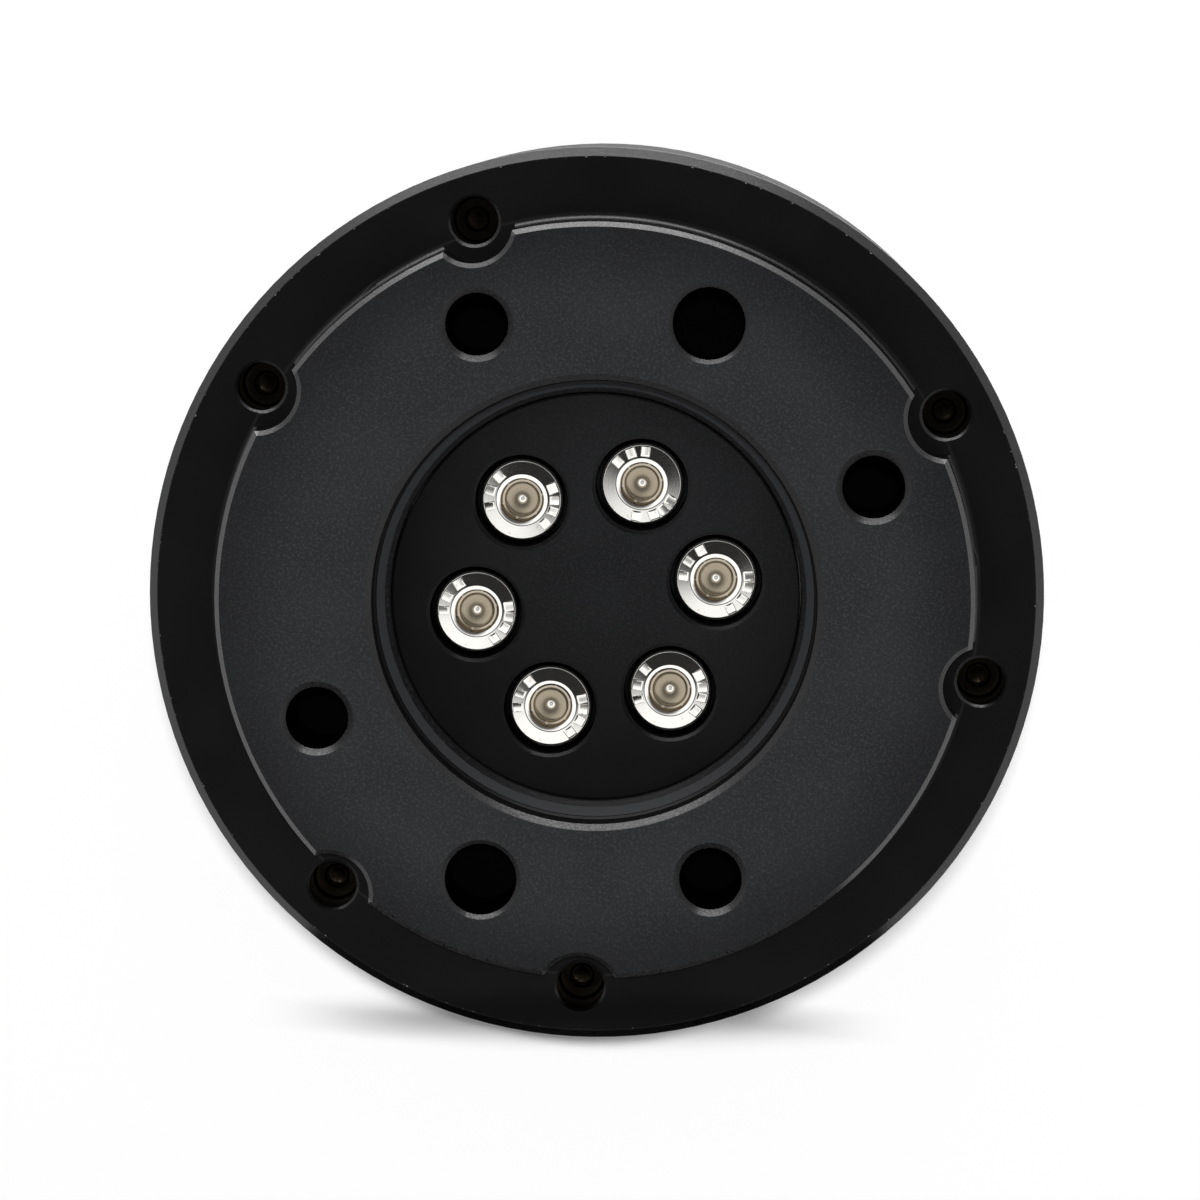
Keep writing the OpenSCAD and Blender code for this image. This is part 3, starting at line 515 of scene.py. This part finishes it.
def screw_rows():
    """Section of a hub screw from its tip, up its outside, and down into its socket. Close rows beside the
    borders of the turned cone keep it straight under smooth shading."""
    tip = HUB_TIP_Z - HUB_HEAD_Z
    cone_slope = math.tan(HEAD_CONE_TILT)
    cone_low = -(HEAD_CONE_R[1] - HEAD_CONE_R[0]) * cone_slope
    support = 0.03 * MM
    outside = [
        (0, tip),
        (SHANK_R - TIP_CHAMFER, tip),
        (SHANK_R, tip + TIP_CHAMFER),
        (SHANK_R, -HEAD_H),
        (HEAD_R - HEAD_CHAMFER, -HEAD_H),
        (HEAD_R, -HEAD_H + HEAD_CHAMFER),
        (HEAD_R, cone_low - 0.22 * MM),
        (HEAD_R - 0.05 * MM, cone_low - 0.12 * MM),
        (HEAD_R - 0.13 * MM, cone_low - 0.05 * MM),
        (HEAD_CONE_R[1], cone_low),
        (HEAD_CONE_R[1] - support, cone_low + support * cone_slope),
        (HEAD_CONE_R[0] + support, -support * cone_slope),
        (HEAD_CONE_R[0], 0),
    ]
    lip = [
        (2.12 * MM, -0.013 * MM),
        (2.04 * MM, -0.036 * MM),
        (1.96 * MM, -0.067 * MM),
        (1.9 * MM, -0.095 * MM),
        (LIP_R, -0.13 * MM),
    ]
    wall = [
        (1.81 * MM, -0.3 * MM),
        (1.77 * MM, -0.66 * MM),
        (hexagon(HEXAGON_APOTHEM, CUP_R), -0.78 * MM),
        (hexagon(HEXAGON_APOTHEM, CUP_R - 0.02 * MM), -0.92 * MM),
    ]
    floor = [
        (1.49 * MM, -0.98 * MM),
        (1.46 * MM, -1.09 * MM),
        (1.41 * MM, -1.18 * MM),
        (1.34 * MM, -1.25 * MM),
        (1.25 * MM, -1.3 * MM),
        (1.1 * MM, -1.35 * MM),
        (0.9 * MM, -1.4 * MM),
        (0.5 * MM, -1.475 * MM),
        (0.4 * MM, -1.468 * MM),
        (NUB_R, -1.44 * MM),
        (0.2 * MM, -1.408 * MM),
        (0.15 * MM, -1.4 * MM),
        (0.12 * MM, -1.42 * MM),
        (0.09 * MM, -1.52 * MM),
        (0, -1.55 * MM),
    ]
    return outside + lip + wall + floor


# Stations across a raised block, from one border to the other, and the share of its height there
PAD_BORDER = ((-1, 0), (-0.94, 0.8), (-0.86, 1))
PAD_TOP = ((-0.6, 1), (-0.3, 1), (0, 1), (0.3, 1), (0.6, 1))
PAD_STATIONS = PAD_BORDER + PAD_TOP + tuple((-u, share) for u, share in reversed(PAD_BORDER))
# Between which radii the blocks lie, how wide they are, and how far they rise and swell
PAD_RADII = (2.3 * MM, 3.2 * MM)
PAD_WIDTHS = (0.76 * MM, 0.96 * MM)
PAD_RISE = 0.03 * MM
PAD_CROWN = 0.03 * MM


def add_pad(bm, angle, width, inward, sideways):
    """A raised block on the head's cone, at that angle, whose top leans inward and to one side."""
    inner, outer = PAD_RADII
    sunk, foot_depth = 0.01 * MM, 0.06 * MM
    cone = math.tan(HEAD_CONE_TILT)
    steps = len(PAD_STATIONS) - 1
    grid = []
    for u, share_u in PAD_STATIONS:
        r = (inner + outer) / 2 + u * (outer - inner) / 2
        line = []
        for v, share_v in PAD_STATIONS:
            foot_z = -(r - HEAD_CONE_R[0]) * cone - sunk
            y = v * width / 2
            top_z = PAD_RISE - (inner - HEAD_CONE_R[0]) * cone + PAD_CROWN * (1 - v * v)
            top_z += (r - inner) * math.tan(inward) + (y + width / 2) * math.tan(sideways)
            z = foot_z + (top_z - foot_z) * share_u * share_v
            line.append(bm.verts.new((
                r * math.cos(angle) - y * math.sin(angle),
                r * math.sin(angle) + y * math.cos(angle),
                z,
            )))
        grid.append(line)
    for i in range(steps):
        for j in range(steps):
            bm.faces.new([grid[i][j], grid[i + 1][j], grid[i + 1][j + 1], grid[i][j + 1]])
    rim = [grid[i][0] for i in range(steps)] + [grid[steps][j] for j in range(steps)]
    rim += [grid[i][steps] for i in range(steps, 0, -1)] + [grid[0][j] for j in range(steps, 0, -1)]
    foot = [bm.verts.new(v.co - AXIS * foot_depth) for v in rim]
    for k in range(len(rim)):
        bm.faces.new([rim[k], rim[k - 1], foot[k - 1], foot[k]])
    bm.faces.new(foot)


# The raised blocks round a head: angle against the picture's right, lean inward and lean sideways, in
# degrees
PADS = ((127, 8, -3), (155, 9, 1), (182, 9, -3), (13, 9, -3), (-7, 9, 2), (-27, -9, 1), (-54, -9, 0))
# How far the blocks of each head are turned, in degrees
HEAD_TURNS = (-8, -44, 7, -3, 2, 14)


def make_hub_screws():
    """The six hub screws, each with its socket and the raised blocks on its head."""
    rng = random.Random(7)
    for k, angle in enumerate(HUB_SCREW_ANGLES):
        bm = bmesh.new()
        skin(bm, screw_rows(), HEAD_SEGMENTS)
        spin = rng.uniform(-10, 10)
        for pad_angle, inward, sideways in PADS:
            at = PICTURE_TURN + math.radians(pad_angle + HEAD_TURNS[k] + rng.uniform(-2, 2) - spin)
            lean = math.radians(inward + rng.uniform(-1.5, 1)), math.radians(sideways + rng.uniform(-2, 2))
            add_pad(bm, at, rng.uniform(*PAD_WIDTHS), *lean)
        turn = math.radians(angle)
        place = Vector((HUB_SCREW_R * math.cos(turn), HUB_SCREW_R * math.sin(turn), HUB_HEAD_Z))
        screw = piece(f"hub_screw_{k + 1}", finish_mesh(bm, "hub_screw"), "hub_screw_steel", place)
        screw.rotation_euler.z = math.radians(spin)
        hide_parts("hub_screws")


# The threads: pitch, how far below the face they start, how far the crests stand into the bore and the
# roots into its wall with half their widths as shares of the pitch, segments to a turn and in the run-in,
# and the angle of the first hole in degrees
THREAD_PITCH = 1 * MM
THREAD_START = 0.75 * MM
CREST, CREST_SHARE = 0.16 * MM, 0.07
ROOT, ROOT_SHARE = 0.02 * MM, 0.32
THREAD_SEGMENTS = 48
RUN_IN_SEGMENTS = 12
FIRST_BOLT_ANGLE = 45


def thread_mesh(radius, length):
    """The crests of a thread in a bore of that radius, as a helix of that length below z = 0."""
    bm = bmesh.new()
    section = [(ROOT, ROOT_SHARE), (-CREST, CREST_SHARE), (-CREST, -CREST_SHARE), (ROOT, -ROOT_SHARE)]
    rings = []
    for k in range(int(length / THREAD_PITCH * THREAD_SEGMENTS)):
        t = 2 * math.pi * k / THREAD_SEGMENTS
        z = -THREAD_START - THREAD_PITCH * k / THREAD_SEGMENTS
        ring = []
        for dr, dz in section:
            r = radius + dr * min(1, k / RUN_IN_SEGMENTS)
            ring.append(bm.verts.new((r * math.cos(t), r * math.sin(t), z + dz * THREAD_PITCH)))
        rings.append(ring)
    for a, b in zip(rings, rings[1:]):
        for i in range(4):
            bm.faces.new([a[i], a[(i + 1) % 4], b[(i + 1) % 4], b[i]])
    bm.faces.new(rings[0])
    bm.faces.new(rings[-1])
    return finish_mesh(bm, "thread")


def make_threads():
    """Threads in the four threaded holes of each face."""
    metal = thread_metal("thread_metal")
    threaded = (("tool_bolts", "flange_black", 7 * MM), ("robot_bolts", "housing_black", 6 * MM))
    for name, slot, length in threaded:
        m = mount(name)
        count = m["dims"]["count"]
        circle_r = m["dims"]["pcd_mm"] / 2 * MM
        outward = Matrix.Rotation(0 if m["axis"][2] > 0 else math.pi, 4, "X")
        for k in range(count):
            turn = math.radians(FIRST_BOLT_ANGLE + 360 / count * k)
            at = Vector(m["pos_m"]) + Vector((math.cos(turn), math.sin(turn), 0)) * circle_r
            thread = thread_mesh(m["dims"]["hole_r_mm"] * MM, length)
            thread.transform(outward)
            piece(f"{name}_thread_{k + 1}", thread, slot, at, metal)


# ---------------------------------------------------------------- stage

# How bright the tent shows, how much of it lights the part, and the floor's own light
WHITE = 1.1
WORLD_FILL = 0.12
FLOOR_LIFT = 0.135
FLOOR_SIZE = 8.0

# The light that the floor gives the camera beyond the lamp's reach: from where to where it rises, and how far
FAR_FLOOR = (0.1, 1.6)
FAR_FLOOR_LIFT = 0.855

# The overhead lamp: its direction to the picture's right, to its top, and up, then its distance, size and
# brightness
OVERHEAD_LEAN = math.radians(10.9)
OVERHEAD = (math.sin(math.radians(1.7)), math.sin(OVERHEAD_LEAN), math.cos(OVERHEAD_LEAN))
OVERHEAD_DISTANCE = 1.2
OVERHEAD_SIZE = (0.16, 0.04)
OVERHEAD_RADIANCE = 662

# The low strip beyond the picture's top: its direction as above, its distance, size and brightness
STRIP_ANGLE = math.radians(12)
STRIP = (-0.1, math.cos(STRIP_ANGLE), math.sin(STRIP_ANGLE))
STRIP_DISTANCE = 0.9
STRIP_SIZE = (1.0, 0.36)
STRIP_RADIANCE = 5.2

# A dark sheet that stands in for the shade beside the sensor's lower edge, seen only in reflections.
# The dark card round the picture's lower edge: radius, lower and upper edge, and half its angle in degrees
FLAG_R = 45 * MM
FLAG_Z = (0.5 * MM, 36 * MM)
FLAG_HALF_ANGLE = 40

# The soft bar of shade on the floor below the sensor: its middle, half length and depth, and the height and
# stations of the card that throws it
SHADE_MIDDLE = (-2.5 * MM, -41.8 * MM)
SHADE_HALF = 25 * MM
SHADE_DEPTH = 2.8 * MM
CARD_HEIGHT = 70 * MM
CARD_STATIONS = 12

# The tent's dark parts: round the axis, as the angles where it ends and where it is full, and one side, as
# its angle against the picture's right
DARK_ZENITH = (math.radians(22.5), math.radians(14.5))
DARK_SIDE = math.radians(62)


def seen(tree):
    """1 for rays that show the background: straight from the camera, or by reflection or refraction."""
    path = tree.nodes.new("ShaderNodeLightPath")
    total = path.outputs["Is Camera Ray"]
    for name in ("Is Glossy Ray", "Is Transmission Ray"):
        node = tree.nodes.new("ShaderNodeMath")
        node.operation = "MAXIMUM"
        tree.links.new(total, node.inputs[0])
        tree.links.new(path.outputs[name], node.inputs[1])
        total = node.outputs[0]
    return total


def make_floor():
    """A pale plain floor that keeps the part's shadow, and shows white far beyond the lamp's reach."""
    s = Shader("floor_white")
    camera = s.tree.nodes.new("ShaderNodeLightPath").outputs["Is Camera Ray"]
    far = s.step(s.radius(), *FAR_FLOOR, 0.0, FAR_FLOOR_LIFT)
    s.set(
        Base_Color=(0.9, 0.9, 0.9, 1),
        Roughness=0.9,
        Specular_IOR_Level=0.0,
        Emission_Color=(1, 1, 1, 1),
        Emission_Strength=s.plus(s.times(seen(s.tree), FLOOR_LIFT), s.times(camera, far)),
    )
    bm = bmesh.new()
    bmesh.ops.create_grid(bm, x_segments=1, y_segments=1, size=FLOOR_SIZE / 2)
    mesh = bpy.data.meshes.new("floor")
    bm.to_mesh(mesh)
    bm.free()
    mesh.materials.append(s.material)
    floor = bpy.data.objects.new("floor", mesh)
    bpy.context.scene.collection.objects.link(floor)


def softbox(name, direction, distance, size, radiance):
    """An oblong lamp that faces the part, with the brightness that its surface shows."""
    width, height = size
    lamp = bpy.data.lights.new(name, "AREA")
    lamp.shape = "RECTANGLE"
    lamp.size, lamp.size_y = width, height
    lamp.energy = radiance * math.pi * width * height
    obj = bpy.data.objects.new(name, lamp)
    bpy.context.scene.collection.objects.link(obj)
    target = Vector((0, 0, TOP_Z))
    obj.location = target + direction.normalized() * distance
    obj.rotation_mode = "QUATERNION"
    obj.rotation_quaternion = (target - obj.location).to_track_quat("-Z", "Y")
    obj.visible_camera = False
    return obj


def make_lamps():
    """A small soft lamp overhead, which throws the shadow, and a low strip that lights the edges."""
    direction = in_picture(*OVERHEAD)
    overhead = softbox("overhead", direction, OVERHEAD_DISTANCE, OVERHEAD_SIZE, OVERHEAD_RADIANCE)
    overhead.visible_glossy = False
    strip = softbox("strip", in_picture(*STRIP), STRIP_DISTANCE, STRIP_SIZE, STRIP_RADIANCE)
    strip.visible_diffuse = False


def stage_mesh(name, bm):
    """A dark card on the stage, which the camera doesn't see."""
    mesh = finish_mesh(bm, name)
    black = Shader(name + "_black")
    mesh.materials.append(black.set(Base_Color=(0.01, 0.01, 0.01, 1), Roughness=0.9, Specular_IOR_Level=0.0))
    card = bpy.data.objects.new(name, mesh)
    bpy.context.scene.collection.objects.link(card)
    card.visible_camera = False
    card.visible_diffuse = False
    return card


def make_flag():
    """A dark card round the picture's lower edge, which only reflections show: a stand-in for shade on the
    floor there.
    """
    bm = bmesh.new()
    middle = PICTURE_TURN - math.pi / 2
    turns = [middle + math.radians(a) for a in range(-FLAG_HALF_ANGLE, FLAG_HALF_ANGLE + 1, 5)]
    low, high = (
        [bm.verts.new((FLAG_R * math.cos(t), FLAG_R * math.sin(t), z)) for t in turns] for z in FLAG_Z
    )
    for k in range(len(turns) - 1):
        bm.faces.new([low[k], low[k + 1], high[k + 1], high[k]])
    stage_mesh("flag", bm).visible_shadow = False


def make_card():
    """A narrow card under the overhead lamp, whose shade spreads to both sides below the sensor."""
    lamp = in_picture(*OVERHEAD).normalized() * OVERHEAD_DISTANCE + Vector((0, 0, TOP_Z))
    share = CARD_HEIGHT / lamp.z
    bm = bmesh.new()
    edges = []
    for side in (1, -1):
        row = []
        for k in range(-CARD_STATIONS, CARD_STATIONS + 1):
            u = k / CARD_STATIONS
            half_depth = SHADE_DEPTH / 2 * (1 - u * u) + 0.01 * MM
            on_floor = in_picture(SHADE_MIDDLE[0] + u * SHADE_HALF, SHADE_MIDDLE[1] + side * half_depth, 0)
            row.append(bm.verts.new(on_floor.lerp(lamp, share)))
        edges.append(row)
    for k in range(2 * CARD_STATIONS):
        bm.faces.new([edges[0][k], edges[0][k + 1], edges[1][k + 1], edges[1][k]])
    stage_mesh("shade_card", bm).visible_glossy = False


def make_world():
    """A white tent, dark overhead and towards the picture's upper right, where no light comes from."""
    world = bpy.data.worlds.new("tent")
    bpy.context.scene.world = world
    world.use_nodes = True
    tree = world.node_tree
    background = tree.nodes["Background"]
    background.inputs["Color"].default_value = (1, 1, 1, 1)
    coords = tree.nodes.new("ShaderNodeTexCoord")

    def along(direction):
        node = tree.nodes.new("ShaderNodeVectorMath")
        node.operation = "DOT_PRODUCT"
        tree.links.new(coords.outputs["Generated"], node.inputs[0])
        node.inputs[1].default_value = direction
        return node.outputs["Value"]

    def step(value, low, high, start, end):
        node = tree.nodes.new("ShaderNodeMapRange")
        node.interpolation_type = "SMOOTHSTEP"
        for name, v in (("From Min", low), ("From Max", high), ("To Min", start), ("To Max", end)):
            node.inputs[name].default_value = v
        tree.links.new(value, node.inputs["Value"])
        return node.outputs["Result"]

    def product(a, b):
        node = tree.nodes.new("ShaderNodeMath")
        node.operation = "MULTIPLY"
        for socket, value in zip(node.inputs, (a, b)):
            if isinstance(value, bpy.types.NodeSocket):
                tree.links.new(value, socket)
            else:
                socket.default_value = value
        return node.outputs[0]

    zenith = step(along(AXIS), math.cos(DARK_ZENITH[0]), math.cos(DARK_ZENITH[1]), 1.0, 0.02)
    side = step(along(in_picture(math.cos(DARK_SIDE), math.sin(DARK_SIDE), 0)), 0.25, 0.65, 1.0, 0.08)
    height_blend = step(along(AXIS), 0.1, 0.4, 0.0, 1.0)
    mixed = tree.nodes.new("ShaderNodeMix")
    tree.links.new(height_blend, mixed.inputs["Factor"])
    mixed.inputs[2].default_value = 1.0
    tree.links.new(side, mixed.inputs[3])
    tent = product(product(zenith, mixed.outputs[0]), WHITE)
    shown = tree.nodes.new("ShaderNodeMix")
    tree.links.new(seen(tree), shown.inputs["Factor"])
    shown.inputs[2].default_value = WORLD_FILL
    tree.links.new(tent, shown.inputs[3])
    tree.links.new(shown.outputs[0], background.inputs["Strength"])


# ---------------------------------------------------------------- camera

# The camera's distance, its lean off the axis, its lens in mm, and how far off the middle it aims
CAMERA_DISTANCE = 397 * MM
CAMERA_TO_RIGHT = math.radians(1.6)
CAMERA_TO_TOP = math.radians(6.1)
LENS = 144.1
AIM_RIGHT = 0.5 * MM
AIM_UP = 0.3 * MM


def make_camera():
    """A long lens over the tool side, a little to the picture's top and right of the axis."""
    data = bpy.data.cameras.new("camera")
    data.sensor_width = 36
    data.lens = LENS
    data.clip_start, data.clip_end = 0.01, 20
    camera = bpy.data.objects.new("camera", data)
    bpy.context.scene.collection.objects.link(camera)
    back = in_picture(
        math.sin(CAMERA_TO_RIGHT) * math.cos(CAMERA_TO_TOP),
        math.sin(CAMERA_TO_TOP),
        math.cos(CAMERA_TO_RIGHT) * math.cos(CAMERA_TO_TOP),
    )
    face = Vector((0, 0, TOP_Z))
    across = UP.cross(back).normalized()
    upward = back.cross(across)
    position = face + back * CAMERA_DISTANCE
    look = (face + across * AIM_RIGHT + upward * AIM_UP - position).normalized()
    side = look.cross(UP).normalized()
    turn = Matrix((side, side.cross(look), -look)).transposed().to_4x4()
    camera.matrix_world = Matrix.Translation(position) @ turn
    bpy.context.scene.camera = camera


dress_cad_nodes()
make_hub_screws()
make_threads()
make_floor()
make_lamps()
make_flag()
make_card()
make_world()
make_camera()
bpy.context.scene.view_settings.view_transform = "Standard"
